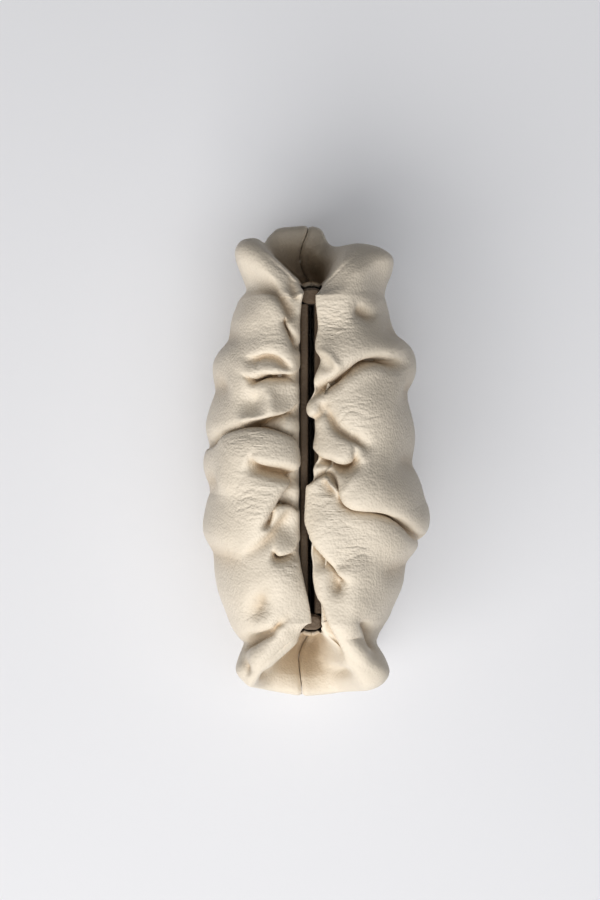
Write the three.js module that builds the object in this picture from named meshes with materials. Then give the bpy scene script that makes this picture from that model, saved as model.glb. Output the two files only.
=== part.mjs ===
// Soft gathered leather clutch bag that stands shut on its own base.
// Two leather panels are gathered onto the two bars of a sprung frame, puff up past it as lips,
// and are sewn to each other down both ends and along the bottom.
// Millimetres, +Z up, X along the mouth, the front towards -Y, the origin under the middle of the bag.
import * as THREE from "three";

// Overall sizes
const LENGTH = 250;
const DEPTH = 117;
const HEIGHT = 114;
const BOTTOM_TUCK = 0.82; // where the bottom seam meets each fold line, as a share of the foot's x

// Mouth and frame
const MOUTH_LENGTH = 166; // from hinge to hinge
const MOUTH_GAP = 3.1; // between the two shut bars
const BAR_WIDTH = 4.1;
const BAR_HEIGHT = 13;
const BAR_ROUND = 1.2;
const BAR_DROP = 18; // the bars' tops lie this far below the top of the lips
const HINGE_LENGTH = 8;
const HINGE_HEIGHT = 15;
const HINGE_RISE = 1.5; // how far a hinge stands above the bars

// Leather
const WALL = 2;
const HEM_DROP = 8; // the hem hangs this far below the bars' tops
const LIP_RISE = 1; // a lip that leans over the mouth starts this far above the bars
const CLEARANCE = 0.3; // between sewn pieces

// Mesh density
const STRAIGHT_STEPS = 46;
const FAN_PLACES = [0.12, 0.22, 0.31, 0.38, 0.44, 0.5, 0.56, 0.62, 0.7, 0.83, 1];
const STEPS_PER_SPAN = [1, 1, 1, 3, 4, 2, 1, 1, 2, 1, 1];

const BAR_TOP = HEIGHT - BAR_DROP;
const HALF_MOUTH = MOUTH_LENGTH / 2;
const HALF_DEPTH = DEPTH / 2;
const END_REACH = (LENGTH - MOUTH_LENGTH) / 2;
const BAR_OUTSIDE = MOUTH_GAP / 2 + BAR_WIDTH;
const HEM_OFFSET = BAR_OUTSIDE + CLEARANCE;
const HEM_Z = BAR_TOP - HEM_DROP;
const RIGHT_ANGLE = Math.PI / 2;

// Every table places things by two shares. "along" runs from -1 at the left hinge to 1 at the right one,
// and on round each end to -2 and 2 at the end seams. "across" runs from 0 at the hem to 1 at the
// outline seen from above, and on past 1 down the side.

// How far each panel reaches from the mouth's centre line, as a share of its half of the depth.
const FRONT_REACH = [
  { along: -2.0, reach: 1.0 },
  { along: -1.86, reach: 1.0 },
  { along: -1.75, reach: 0.98 },
  { along: -1.69, reach: 0.9 },
  { along: -1.62, reach: 0.79 },
  { along: -1.54, reach: 0.85 },
  { along: -1.45, reach: 0.9 },
  { along: -1.38, reach: 0.875 },
  { along: -1.32, reach: 0.81 },
  { along: -1.25, reach: 0.71 },
  { along: -1.17, reach: 0.625 },
  { along: -1.09, reach: 0.6 },
  { along: -1.0, reach: 0.66 },
  { along: -0.74, reach: 0.78 },
  { along: -0.43, reach: 0.9 },
  { along: -0.23, reach: 0.95 },
  { along: -0.11, reach: 0.94 },
  { along: 0.13, reach: 0.98 },
  { along: 0.23, reach: 0.91 },
  { along: 0.49, reach: 0.95 },
  { along: 0.8, reach: 0.86 },
  { along: 1.0, reach: 0.75 },
  { along: 1.1, reach: 0.715 },
  { along: 1.19, reach: 0.68 },
  { along: 1.25, reach: 0.67 },
  { along: 1.32, reach: 0.78 },
  { along: 1.39, reach: 0.89 },
  { along: 1.47, reach: 0.93 },
  { along: 1.6, reach: 0.955 },
  { along: 1.75, reach: 1.01 },
  { along: 2.0, reach: 1.06 },
];
const BACK_REACH = [
  { along: -2.0, reach: 1.0 },
  { along: -1.9, reach: 0.96 },
  { along: -1.8, reach: 0.83 },
  { along: -1.71, reach: 0.76 },
  { along: -1.63, reach: 0.735 },
  { along: -1.54, reach: 0.78 },
  { along: -1.45, reach: 0.82 },
  { along: -1.38, reach: 0.85 },
  { along: -1.3, reach: 0.86 },
  { along: -1.23, reach: 0.8 },
  { along: -1.15, reach: 0.71 },
  { along: -1.07, reach: 0.66 },
  { along: -1.0, reach: 0.66 },
  { along: -0.79, reach: 0.8 },
  { along: -0.67, reach: 0.9 },
  { along: -0.52, reach: 0.92 },
  { along: -0.38, reach: 0.91 },
  { along: -0.13, reach: 0.95 },
  { along: 0.28, reach: 0.97 },
  { along: 0.43, reach: 1.01 },
  { along: 0.59, reach: 0.94 },
  { along: 0.8, reach: 0.85 },
  { along: 1.0, reach: 0.71 },
  { along: 1.1, reach: 0.66 },
  { along: 1.19, reach: 0.645 },
  { along: 1.26, reach: 0.67 },
  { along: 1.33, reach: 0.82 },
  { along: 1.39, reach: 0.93 },
  { along: 1.5, reach: 1.0 },
  { along: 1.65, reach: 1.03 },
  { along: 1.8, reach: 1.05 },
  { along: 2.0, reach: 1.06 },
];

// The profile of a panel from its hem out to the outline and down to its foot, at the same places on
// both sides of the middle. Heights are shares of HEIGHT, and distances are shares of the reach.
const PROFILES = [
  { along: 0.0, lip: 0.92, crestAt: 0.36, crest: 0.98, shoulder: 0.88, hip: 0.67, waist: 0.44, belly: 0.96, foot: 0.66 },
  { along: 0.6, lip: 0.92, crestAt: 0.36, crest: 0.965, shoulder: 0.865, hip: 0.66, waist: 0.44, belly: 0.96, foot: 0.66 },
  { along: 0.9, lip: 0.91, crestAt: 0.38, crest: 0.94, shoulder: 0.835, hip: 0.65, waist: 0.45, belly: 0.97, foot: 0.68 },
  { along: 1.1, lip: 0.9, crestAt: 0.4, crest: 0.92, shoulder: 0.8, hip: 0.64, waist: 0.48, belly: 0.99, foot: 0.72 },
  { along: 1.22, lip: 0.89, crestAt: 0.42, crest: 0.9, shoulder: 0.78, hip: 0.68, waist: 0.53, belly: 0.98, foot: 0.74 },
  { along: 1.33, lip: 0.88, crestAt: 0.46, crest: 0.885, shoulder: 0.83, hip: 0.745, waist: 0.6, belly: 0.88, foot: 0.66 },
  { along: 1.45, lip: 0.86, crestAt: 0.48, crest: 0.865, shoulder: 0.83, hip: 0.75, waist: 0.62, belly: 0.84, foot: 0.64 },
  { along: 1.55, lip: 0.82, crestAt: 0.48, crest: 0.82, shoulder: 0.79, hip: 0.72, waist: 0.58, belly: 0.86, foot: 0.64 },
  { along: 1.63, lip: 0.7, crestAt: 0.46, crest: 0.63, shoulder: 0.62, hip: 0.58, waist: 0.49, belly: 0.9, foot: 0.66 },
  { along: 1.71, lip: 0.6, crestAt: 0.42, crest: 0.43, shoulder: 0.48, hip: 0.47, waist: 0.4, belly: 0.94, foot: 0.67 },
  { along: 1.82, lip: 0.54, crestAt: 0.38, crest: 0.34, shoulder: 0.45, hip: 0.44, waist: 0.37, belly: 0.96, foot: 0.68 },
  { along: 2.0, lip: 0.52, crestAt: 0.36, crest: 0.31, shoulder: 0.44, hip: 0.435, waist: 0.36, belly: 0.96, foot: 0.68 },
];
const BELLY_HEIGHT = 0.5; // share of the waist's height
const HEEL_HEIGHT = 0.045; // share of HEIGHT
const HEEL_BLEND = 0.66; // how far out from foot to belly the heel lies
const SHOULDER_AT = 0.72; // share of the reach
const HIP_AT = 0.94;

// How far each lip leans over the mouth, as a share of the mouth's whole width.
const FRONT_LEAN = [
  { along: -2.0, lean: 0 },
  { along: -1.45, lean: 0 },
  { along: -1.25, lean: 0.15 },
  { along: -1.0, lean: 0.15 },
  { along: -0.8, lean: 0 },
  { along: 0.6, lean: 0 },
  { along: 0.75, lean: 0.2 },
  { along: 0.88, lean: 0.38 },
  { along: 1.0, lean: 0.42 },
  { along: 1.15, lean: 0.35 },
  { along: 1.3, lean: 0.15 },
  { along: 1.45, lean: 0 },
  { along: 2.0, lean: 0 },
];
const BACK_LEAN = [
  { along: -2.0, lean: 0 },
  { along: -1.45, lean: 0 },
  { along: -1.25, lean: 0.22 },
  { along: -1.1, lean: 0.3 },
  { along: -0.97, lean: 0.34 },
  { along: -0.8, lean: 0.26 },
  { along: -0.69, lean: 0.33 },
  { along: -0.6, lean: 0.1 },
  { along: -0.45, lean: 0.5 },
  { along: -0.38, lean: 0.45 },
  { along: -0.29, lean: 0.68 },
  { along: -0.2, lean: 0.34 },
  { along: -0.05, lean: 0.45 },
  { along: 0.1, lean: 0.5 },
  { along: 0.17, lean: 0.74 },
  { along: 0.45, lean: 0.76 },
  { along: 0.62, lean: 0.58 },
  { along: 0.79, lean: 0.37 },
  { along: 0.9, lean: 0.15 },
  { along: 1.1, lean: 0.08 },
  { along: 1.3, lean: 0 },
  { along: 2.0, lean: 0 },
];

// The end seams don't run straight out from the hinges: they drift towards the front.
// "deep" is halfway out from the hinge and "tip" is at the end, as shares of the depth.
const END_DRIFT = [
  { end: -1, deep: -0.05, tip: -0.01 },
  { end: 1, deep: -0.055, tip: -0.04 },
];
const DRIFT_FROM = 1.45; // places along the panel between which the drift grows
const DRIFT_FULL = 1.7;

// Folds: a groove that follows a route, with a puffed roll on one side of it.
// "roll" is the side of the route that puffs, 1 being the left of the way it runs seen from above the
// front panel. "deep" and "rise" are shares of HEIGHT, "wide" and "spread" shares of HALF_DEPTH.
// "open" is how much of the fold's strength it has where it starts, 1 at the mouth.
const FRONT_FOLDS = [
  { name: "ear valley, left", route: [[-0.9, 0.13], [-0.99, 0.37], [-1.15, 0.64], [-1.25, 0.95]], deep: 0.045, wide: 0.12, rise: 0.02, spread: 0.14, roll: 1, open: 0.2 },
  { name: "left shoulder tuck", route: [[-0.73, -0.02], [-0.76, 0.1], [-0.83, 0.24]], deep: 0.04, wide: 0.07, rise: 0.015, spread: 0.1, roll: 1, open: 1 },
  { name: "eyelid", route: [[-0.59, 0.14], [-0.62, 0.27], [-0.62, 0.4], [-0.61, 0.53], [-0.59, 0.67]], deep: 0.03, wide: 0.07, rise: 0.01, spread: 0.12, roll: 1, open: 0 },
  { name: "first pleat", route: [[-0.52, -0.02], [-0.53, 0.22], [-0.52, 0.43], [-0.49, 0.6]], deep: 0.055, wide: 0.085, rise: 0.02, spread: 0.11, roll: 1, open: 1 },
  { name: "rolled pleat", route: [[-0.31, -0.02], [-0.28, 0.23], [-0.25, 0.41], [-0.245, 0.6]], deep: 0.058, wide: 0.085, rise: 0.03, spread: 0.11, roll: 1, open: 1 },
  { name: "middle lobe's edge", route: [[-0.12, -0.02], [-0.17, 0.23], [-0.18, 0.42], [-0.17, 0.67], [-0.14, 0.8], [-0.11, 1.0], [-0.1, 1.4]], deep: 0.05, wide: 0.08, rise: 0.035, spread: 0.16, roll: -1, open: 1 },
  { name: "second pleat", route: [[0.07, -0.02], [0.065, 0.12], [0.055, 0.25], [0.04, 0.4]], deep: 0.06, wide: 0.07, rise: 0.02, spread: 0.1, roll: 1, open: 1 },
  { name: "hanging edge", route: [[0.13, -0.02], [0.2, 0.18], [0.26, 0.27], [0.32, 0.33], [0.42, 0.42]], deep: 0.055, wide: 0.09, rise: 0.02, spread: 0.12, roll: -1, open: 1 },
  { name: "third pleat", route: [[0.27, -0.02], [0.27, 0.1], [0.27, 0.26]], deep: 0.055, wide: 0.07, rise: 0.01, spread: 0.1, roll: -1, open: 1 },
  { name: "slanting valley", route: [[0.34, 0.12], [0.44, 0.3], [0.5, 0.5], [0.55, 0.7]], deep: 0.032, wide: 0.09, rise: 0.012, spread: 0.12, roll: 1, open: 0.2 },
  { name: "fourth pleat", route: [[0.55, -0.02], [0.57, 0.1], [0.58, 0.3]], deep: 0.055, wide: 0.07, rise: 0.018, spread: 0.1, roll: 1, open: 1 },
  { name: "ear crease, right", route: [[1.06, 0.18], [1.12, 0.32], [1.21, 0.58], [1.25, 0.8], [1.29, 1.1]], deep: 0.035, wide: 0.11, rise: 0.015, spread: 0.15, roll: 1, open: 0 },
  { name: "side fold, left", route: [[-0.47, 0.7], [-0.44, 1.0], [-0.38, 1.7]], deep: 0.022, wide: 0.14, rise: 0.012, spread: 0.2, roll: 1, open: 0 },
  { name: "side fold, middle", route: [[0.15, 0.75], [0.16, 1.0], [0.2, 1.5]], deep: 0.022, wide: 0.12, rise: 0.01, spread: 0.18, roll: -1, open: 0 },
  { name: "side fold, right", route: [[0.62, 0.5], [0.6, 0.95], [0.54, 1.6]], deep: 0.022, wide: 0.14, rise: 0.012, spread: 0.2, roll: 1, open: 0 },
];
const BACK_FOLDS = [
  { name: "long slit", route: [[-0.42, -0.02], [-0.48, 0.15], [-0.55, 0.32], [-0.61, 0.46], [-0.63, 0.58], [-0.62, 0.75], [-0.57, 0.95]], deep: 0.06, wide: 0.1, rise: 0.03, spread: 0.16, roll: 1, open: 0.6 },
  { name: "flap dimple", route: [[-0.62, -0.02], [-0.64, 0.1], [-0.62, 0.22]], deep: 0.045, wide: 0.07, rise: 0, spread: 0.1, roll: 1, open: 1 },
  { name: "small lobe's notch", route: [[-0.21, -0.05], [-0.21, 0.05], [-0.22, 0.16]], deep: 0.05, wide: 0.065, rise: 0, spread: 0.1, roll: 1, open: 1 },
  { name: "soft valley", route: [[-0.24, 0.16], [-0.16, 0.27], [-0.12, 0.4], [-0.08, 0.56]], deep: 0.032, wide: 0.1, rise: 0.012, spread: 0.12, roll: 1, open: 0 },
  { name: "black slit", route: [[-0.03, -0.05], [0.01, 0.2], [0.03, 0.31], [0.01, 0.46]], deep: 0.06, wide: 0.085, rise: 0.025, spread: 0.14, roll: 1, open: 1 },
  { name: "hook fold", route: [[0.12, -0.05], [0.09, 0.06], [0.12, 0.14], [0.2, 0.25], [0.26, 0.3]], deep: 0.05, wide: 0.065, rise: 0.01, spread: 0.1, roll: 1, open: 1 },
  { name: "draped edge", route: [[0.15, 0.13], [0.23, 0.19], [0.29, 0.3], [0.3, 0.45], [0.32, 0.62], [0.37, 0.78], [0.46, 0.95], [0.5, 1.3]], deep: 0.05, wide: 0.085, rise: 0.032, spread: 0.18, roll: 1, open: 0.6 },
  { name: "big facet's edge", route: [[0.47, -0.12], [0.54, -0.02], [0.62, 0.12], [0.69, 0.22], [0.78, 0.3]], deep: 0.052, wide: 0.085, rise: 0.022, spread: 0.14, roll: 1, open: 1 },
  { name: "under pleat", route: [[0.62, -0.05], [0.65, 0.08], [0.66, 0.2]], deep: 0.045, wide: 0.065, rise: 0, spread: 0.1, roll: 1, open: 1 },
  { name: "ear crease, right", route: [[1.02, 0.45], [1.06, 0.58], [1.17, 0.74], [1.24, 0.89], [1.29, 1.1]], deep: 0.035, wide: 0.11, rise: 0.012, spread: 0.15, roll: 1, open: 0 },
  { name: "ear pocket, right", route: [[1.48, 0.2], [1.55, 0.6], [1.58, 0.82]], deep: 0.04, wide: 0.08, rise: 0.02, spread: 0.1, roll: 1, open: 0.3 },
  { name: "ear valley, left", route: [[-0.92, 0.3], [-1.05, 0.6], [-1.2, 0.95]], deep: 0.03, wide: 0.12, rise: 0.015, spread: 0.14, roll: 1, open: 0 },
  { name: "side fold, left", route: [[-0.45, 0.75], [-0.42, 1.0], [-0.36, 1.7]], deep: 0.024, wide: 0.14, rise: 0.012, spread: 0.2, roll: 1, open: 0 },
  { name: "side fold, middle", route: [[0.0, 0.7], [0.04, 1.0], [0.1, 1.5]], deep: 0.02, wide: 0.12, rise: 0.01, spread: 0.18, roll: -1, open: 0 },
  { name: "side fold, right", route: [[0.7, 0.55], [0.68, 0.95], [0.62, 1.6]], deep: 0.022, wide: 0.14, rise: 0.012, spread: 0.2, roll: 1, open: 0 },
];

// Dents: soft hollows, or with a negative depth soft swellings. The sizes are shares as for the folds.
const FRONT_DENTS = [
  { along: -0.38, across: 0.42, deep: 0.035, wide: 0.12 },
  { along: 0.89, across: 0.56, deep: 0.028, wide: 0.16 },
  { along: -0.74, across: 0.62, deep: 0.02, wide: 0.16 },
  { along: 0.19, across: 0.98, deep: 0.025, wide: 0.12 },
  { along: 0.05, across: 0.6, deep: -0.025, wide: 0.3 },
];
const BACK_DENTS = [
  { along: -0.89, across: 0.69, deep: 0.035, wide: 0.11 },
  { along: 0.56, across: 0.3, deep: 0.03, wide: 0.16 },
  { along: 0.79, across: 0.28, deep: 0.03, wide: 0.1 },
  { along: -0.02, across: 0.7, deep: 0.02, wide: 0.2 },
  { along: -0.3, across: 0.5, deep: -0.025, wide: 0.3 },
];

// The two panels, each with the way it faces along Y.
const FRONT = { facing: -1, reach: FRONT_REACH, lean: FRONT_LEAN, folds: FRONT_FOLDS, dents: FRONT_DENTS };
const BACK = { facing: 1, reach: BACK_REACH, lean: BACK_LEAN, folds: BACK_FOLDS, dents: BACK_DENTS };

const clamp01 = (t) => Math.min(1, Math.max(0, t));
const smoothstep = (t) => clamp01(t) ** 2 * (3 - 2 * clamp01(t));
const lerp = THREE.MathUtils.lerp;

// A smooth curve through one column of a table, read at a place along it.
function readTable(rows, at, column) {
  const last = rows.length - 1;
  const place = Math.min(rows[last].along, Math.max(rows[0].along, at));
  let i = 0;
  while (i < last - 1 && rows[i + 1].along < place) i += 1;
  const slope = (k) => {
    const before = rows[Math.max(0, k - 1)];
    const after = rows[Math.min(last, k + 1)];
    return (after[column] - before[column]) / (after.along - before.along);
  };
  const span = rows[i + 1].along - rows[i].along;
  const t = (place - rows[i].along) / span;
  const h = t * t * (3 - 2 * t);
  return (
    rows[i][column] * (1 - h) +
    rows[i + 1][column] * h +
    span * t * (1 - t) * ((1 - t) * slope(i) - t * slope(i + 1))
  );
}

// Where a fold line leaves the hem and which way it runs out, seen from above, for the side that faces +Y.
function foldLine(along) {
  const turn = Math.sign(along) * Math.max(0, Math.abs(along) - 1) * RIGHT_ANGLE;
  const out = new THREE.Vector2(Math.sin(turn), Math.cos(turn));
  const hub = Math.sign(along) * Math.min(1, Math.abs(along)) * HALF_MOUTH;
  return { turn, out, start: out.clone().multiplyScalar(HEM_OFFSET).add(new THREE.Vector2(hub, 0)) };
}

// The distance from the hem to the outline along a fold line.
function reachOf(side, along) {
  const { turn } = foldLine(along);
  const full = HALF_DEPTH * Math.cos(turn) ** 2 + END_REACH * Math.sin(turn) ** 2;
  return readTable(side.reach, along, "reach") * full - HEM_OFFSET;
}

// A place on the panel's pattern laid flat, which agrees with the view from above as far as the outline.
function flatPlace(side, along, across) {
  const line = foldLine(along);
  return line.out.clone().multiplyScalar(across * reachOf(side, along)).add(line.start);
}

// The points that one fold line passes, as [distance out, height].
function profilePoints(side, along) {
  const reach = reachOf(side, along);
  const profile = (column) => readTable(PROFILES, Math.abs(along), column);
  const lean = readTable(side.lean, along, "lean") * 2 * HEM_OFFSET;
  const lip = profile("lip") * HEIGHT;
  const crest = profile("crest") * HEIGHT;
  const shoulder = profile("shoulder") * HEIGHT;
  const waist = profile("waist") * HEIGHT;
  const slack = WALL * smoothstep((Math.abs(along) - 1.35) / 0.25);
  return [
    [slack, HEM_Z],
    [1.4 * slack, lerp(HEM_Z, lip, 0.55)],
    [2 * slack - lean, lip],
    [1.2 * slack + 0.12 * reach - 0.5 * lean, lerp(lip, crest, 0.8)],
    [profile("crestAt") * reach, crest],
    [SHOULDER_AT * reach, shoulder],
    [HIP_AT * reach, profile("hip") * HEIGHT],
    [reach, waist],
    [profile("belly") * reach, waist * BELLY_HEIGHT],
    [lerp(profile("foot"), profile("belly"), HEEL_BLEND) * reach, HEEL_HEIGHT * HEIGHT],
    [profile("foot") * reach, 0],
  ];
}

// How far a fold pushes the leather out at a place on the flat pattern.
function foldPush(fold, place) {
  let nearest = Infinity;
  let sideways = 0;
  let travelled = 0;
  const last = fold.flat.length - 1;
  for (let i = 0; i < last; i += 1) {
    const from = fold.flat[i];
    const run = fold.flat[i + 1].clone().sub(from);
    const away = place.clone().sub(from);
    const t = clamp01(away.dot(run) / run.lengthSq());
    const gap = away.clone().addScaledVector(run, -t);
    if (gap.length() < nearest) {
      nearest = gap.length();
      sideways = Math.sign(run.x * gap.y - run.y * gap.x) * nearest * fold.roll;
      travelled = (i + t) / last;
    }
  }
  const strength = lerp(fold.open, 1, smoothstep(travelled * 3)) * smoothstep((1 - travelled) * 3);
  const groove = fold.deep * Math.exp(-((nearest / fold.wide) ** 2));
  const off = Math.max(0, sideways) / fold.spread;
  const roll = fold.rise * off * Math.exp((1 - off ** 2) / 2);
  return HEIGHT * strength * (roll - groove);
}

function dentPush(dent, place) {
  const away = place.distanceTo(dent.flat) / (dent.wide * HALF_DEPTH);
  return -HEIGHT * dent.deep * Math.exp(-(away ** 2));
}

// A panel's folds and dents with their routes in millimetres on the flat pattern.
function laidOut(side) {
  const folds = side.folds.map((fold) => ({
    ...fold,
    wide: fold.wide * HALF_DEPTH,
    spread: fold.spread * HALF_DEPTH,
    roll: fold.roll * side.facing,
    flat: fold.route.map(([along, across]) => flatPlace(side, along, across)),
  }));
  const dents = side.dents.map((dent) => ({ ...dent, flat: flatPlace(side, dent.along, dent.across) }));
  return { folds, dents };
}

// The sideways drift of an end at a place along X. It grows from nothing on the ears to all of it by the seam.
function drift(x, along) {
  const { deep, tip } = END_DRIFT.find((row) => row.end === (x < 0 ? -1 : 1));
  const out = clamp01((Math.abs(x) - HALF_MOUTH - HEM_OFFSET - WALL) / (END_REACH - HEM_OFFSET - WALL));
  const pull = smoothstep((Math.abs(along) - DRIFT_FROM) / (DRIFT_FULL - DRIFT_FROM));
  return DEPTH * pull * (deep * smoothstep(out * 2) + (tip - deep) * smoothstep(out * 2 - 1));
}

// One fold line of the smooth panel: places in space, each with its place on the flat pattern.
function smoothLine(side, along) {
  const line = foldLine(along);
  const points = profilePoints(side, along);
  const curve = new THREE.CatmullRomCurve3(points.map(([out, z]) => new THREE.Vector3(out, 0, z)));
  const reach = reachOf(side, along);
  const waistSpan = 7;
  const found = [];
  let below = 0;
  const spans = STEPS_PER_SPAN.slice(0, -1);
  spans.forEach((steps, span) => {
    const first = span === 0 ? 0 : 1;
    for (let k = first; k <= steps; k += 1) {
      const at = curve.getPoint((span + k / steps) / spans.length);
      if (at.z < BAR_TOP + LIP_RISE) at.x = Math.max(0, at.x);
      const plan = line.out.clone().multiplyScalar(at.x).add(line.start);
      const space = new THREE.Vector3(plan.x, side.facing * plan.y, Math.max(0, at.z));
      if (span >= waistSpan) below += space.distanceTo(found[found.length - 1].space);
      const inside = span < 2 ? -(2 - span - k / steps) * 0.1 : 0;
      const across = span >= waistSpan ? 1 + below / reach : at.x / reach + inside;
      const flat = line.out.clone().multiplyScalar(across * reach).add(line.start);
      found.push({ space, flat, hold: smoothstep((span + k / steps - 1) / 2) });
    }
  });
  const foot = found[found.length - 1].space;
  const seam = new THREE.Vector3(foot.x * BOTTOM_TUCK, 0, 0);
  const steps = STEPS_PER_SPAN[STEPS_PER_SPAN.length - 1];
  for (let k = 1; k <= steps; k += 1) {
    found.push({ space: foot.clone().lerp(seam, k / steps), flat: new THREE.Vector2(foot.x, 0), hold: 0 });
  }
  return found;
}

// The normals of a grid of places, pointing out of the bag.
function gridNormals(grid, facing) {
  const columns = grid.length;
  const rows = grid[0].length;
  return grid.map((line, i) =>
    line.map((_, j) => {
      const alongX = grid[Math.min(columns - 1, i + 1)][j].clone().sub(grid[Math.max(0, i - 1)][j]);
      const down = line[Math.min(rows - 1, j + 1)].clone().sub(line[Math.max(0, j - 1)]);
      const normal = alongX.cross(down).multiplyScalar(facing);
      if (i === 0 || i === columns - 1 || j === rows - 1) normal.y = 0;
      return normal.normalize();
    }),
  );
}

// A closed solid between two grids of places that share their layout. Each quad splits along its
// shorter diagonal, which follows the folds.
function shellGeometry(outer, inner, facing) {
  const columns = outer.length;
  const rows = outer[0].length;
  const places = [...outer.flat(), ...inner.flat()];
  const index = [];
  const face = (a, b, c, d) => (facing < 0 ? index.push(a, b, c, a, c, d) : index.push(a, c, b, a, d, c));
  const out = (i, j) => i * rows + j;
  const into = (i, j) => (columns + i) * rows + j;
  for (let i = 0; i < columns - 1; i += 1) {
    for (let j = 0; j < rows - 1; j += 1) {
      const across = outer[i][j].distanceTo(outer[i + 1][j + 1]);
      if (across <= outer[i][j + 1].distanceTo(outer[i + 1][j])) {
        face(out(i, j), out(i, j + 1), out(i + 1, j + 1), out(i + 1, j));
        face(into(i, j), into(i + 1, j), into(i + 1, j + 1), into(i, j + 1));
      } else {
        face(out(i, j + 1), out(i + 1, j + 1), out(i + 1, j), out(i, j));
        face(into(i + 1, j), into(i + 1, j + 1), into(i, j + 1), into(i, j));
      }
    }
    face(out(i, 0), out(i + 1, 0), into(i + 1, 0), into(i, 0));
    face(out(i + 1, rows - 1), out(i, rows - 1), into(i, rows - 1), into(i + 1, rows - 1));
  }
  for (let j = 0; j < rows - 1; j += 1) {
    face(out(0, j + 1), out(0, j), into(0, j), into(0, j + 1));
    face(out(columns - 1, j), out(columns - 1, j + 1), into(columns - 1, j + 1), into(columns - 1, j));
  }
  const geometry = new THREE.BufferGeometry();
  geometry.setAttribute("position", new THREE.Float32BufferAttribute(places.flatMap((p) => [p.x, p.y, p.z]), 3));
  geometry.setIndex(index);
  geometry.computeVertexNormals();
  return geometry;
}

// The places along the panel where its fold lines run.
function foldLinePlaces() {
  const places = FAN_PLACES.map((place) => -1 - place).reverse();
  for (let i = 0; i <= STRAIGHT_STEPS; i += 1) places.push(-1 + (2 * i) / STRAIGHT_STEPS);
  return [...places, ...FAN_PLACES.map((place) => 1 + place)];
}

// A gathered panel: the smooth form pushed in and out by its folds, with the leather's thickness.
function panelGeometry(side) {
  const { folds, dents } = laidOut(side);
  const lines = foldLinePlaces().map((along) => smoothLine(side, along));
  const smooth = lines.map((line) => line.map(({ space }) => space));
  const normals = gridNormals(smooth, side.facing);
  const places = foldLinePlaces();
  const settle = (line, i) =>
    line.map((point) => {
      point.y += (side.facing * CLEARANCE) / 2 + drift(point.x, places[i]);
      return point;
    });
  const outer = lines.map((line, i) =>
    line.map(({ space, flat, hold }, j) => {
      const sewn = i === 0 || i === lines.length - 1 ? 0 : hold;
      const push = folds.reduce((sum, fold) => sum + foldPush(fold, flat), 0);
      const give = dents.reduce((sum, dent) => sum + dentPush(dent, flat), 0);
      const moved = space.clone().addScaledVector(normals[i][j], sewn * (push + give));
      moved.z = Math.max(0, moved.z);
      return moved;
    }),
  );
  const inner = outer.map((line, i) => line.map((point, j) => point.clone().addScaledVector(normals[i][j], -WALL)));
  return shellGeometry(outer.map(settle), inner.map(settle), side.facing);
}

// A leather-wrapped frame bar: a rounded strip that stands on edge along the mouth.
function barGeometry() {
  const half = BAR_WIDTH / 2;
  const section = new THREE.Shape();
  section.moveTo(-half + BAR_ROUND, 0);
  section.lineTo(half - BAR_ROUND, 0);
  section.absarc(half - BAR_ROUND, BAR_ROUND, BAR_ROUND, -RIGHT_ANGLE, 0);
  section.lineTo(half, BAR_HEIGHT - BAR_ROUND);
  section.absarc(half - BAR_ROUND, BAR_HEIGHT - BAR_ROUND, BAR_ROUND, 0, RIGHT_ANGLE);
  section.lineTo(-half + BAR_ROUND, BAR_HEIGHT);
  section.absarc(-half + BAR_ROUND, BAR_HEIGHT - BAR_ROUND, BAR_ROUND, RIGHT_ANGLE, Math.PI);
  section.lineTo(-half, BAR_ROUND);
  section.absarc(-half + BAR_ROUND, BAR_ROUND, BAR_ROUND, Math.PI, 3 * RIGHT_ANGLE);
  const length = MOUTH_LENGTH - HINGE_LENGTH - 2 * CLEARANCE;
  const geometry = new THREE.ExtrudeGeometry(section, { depth: length, bevelEnabled: false, curveSegments: 3 });
  geometry.translate(0, 0, -length / 2);
  geometry.rotateX(RIGHT_ANGLE);
  geometry.rotateZ(RIGHT_ANGLE);
  return geometry;
}

// A hinge: a leather-covered knuckle with round ends that closes the mouth between the two bars.
function hingeGeometry() {
  const radius = HINGE_LENGTH / 2;
  const spread = BAR_OUTSIDE - radius;
  const outline = new THREE.Shape();
  outline.absarc(0, spread, radius, 0, Math.PI);
  outline.absarc(0, -spread, radius, Math.PI, 2 * Math.PI);
  return new THREE.ExtrudeGeometry(outline, {
    depth: HINGE_HEIGHT - 2 * BAR_ROUND,
    bevelThickness: BAR_ROUND,
    bevelSize: BAR_ROUND,
    bevelOffset: -BAR_ROUND,
    bevelSegments: 1,
    curveSegments: 6,
  }).translate(0, 0, BAR_ROUND);
}

const leather = new THREE.MeshStandardMaterial({ color: 0xe3d6c0, roughness: 0.62, metalness: 0 });
const wrap = new THREE.MeshStandardMaterial({ color: 0x7d6c58, roughness: 0.6, metalness: 0 });

function named(name, geometry, material) {
  const mesh = new THREE.Mesh(geometry, material);
  mesh.name = name;
  return mesh;
}

function makeBag() {
  const bag = new THREE.Group();
  bag.add(named("front_panel", panelGeometry(FRONT), leather));
  bag.add(named("back_panel", panelGeometry(BACK), leather));
  [["frame_bar_front", -1], ["frame_bar_back", 1]].forEach(([name, facing]) => {
    const bar = named(name, barGeometry(), wrap);
    bar.position.set(0, (facing * (MOUTH_GAP + BAR_WIDTH)) / 2, BAR_TOP - BAR_HEIGHT);
    bag.add(bar);
  });
  [["hinge_left", -1], ["hinge_right", 1]].forEach(([name, end]) => {
    const hinge = named(name, hingeGeometry(), wrap);
    hinge.position.set(end * HALF_MOUTH, 0, BAR_TOP + HINGE_RISE - HINGE_HEIGHT);
    bag.add(hinge);
  });
  bag.updateMatrixWorld(true);
  const middle = new THREE.Box3().setFromObject(bag).getCenter(new THREE.Vector3());
  bag.position.set(-middle.x, -middle.y, 0);
  return bag;
}

export default makeBag();
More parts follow.
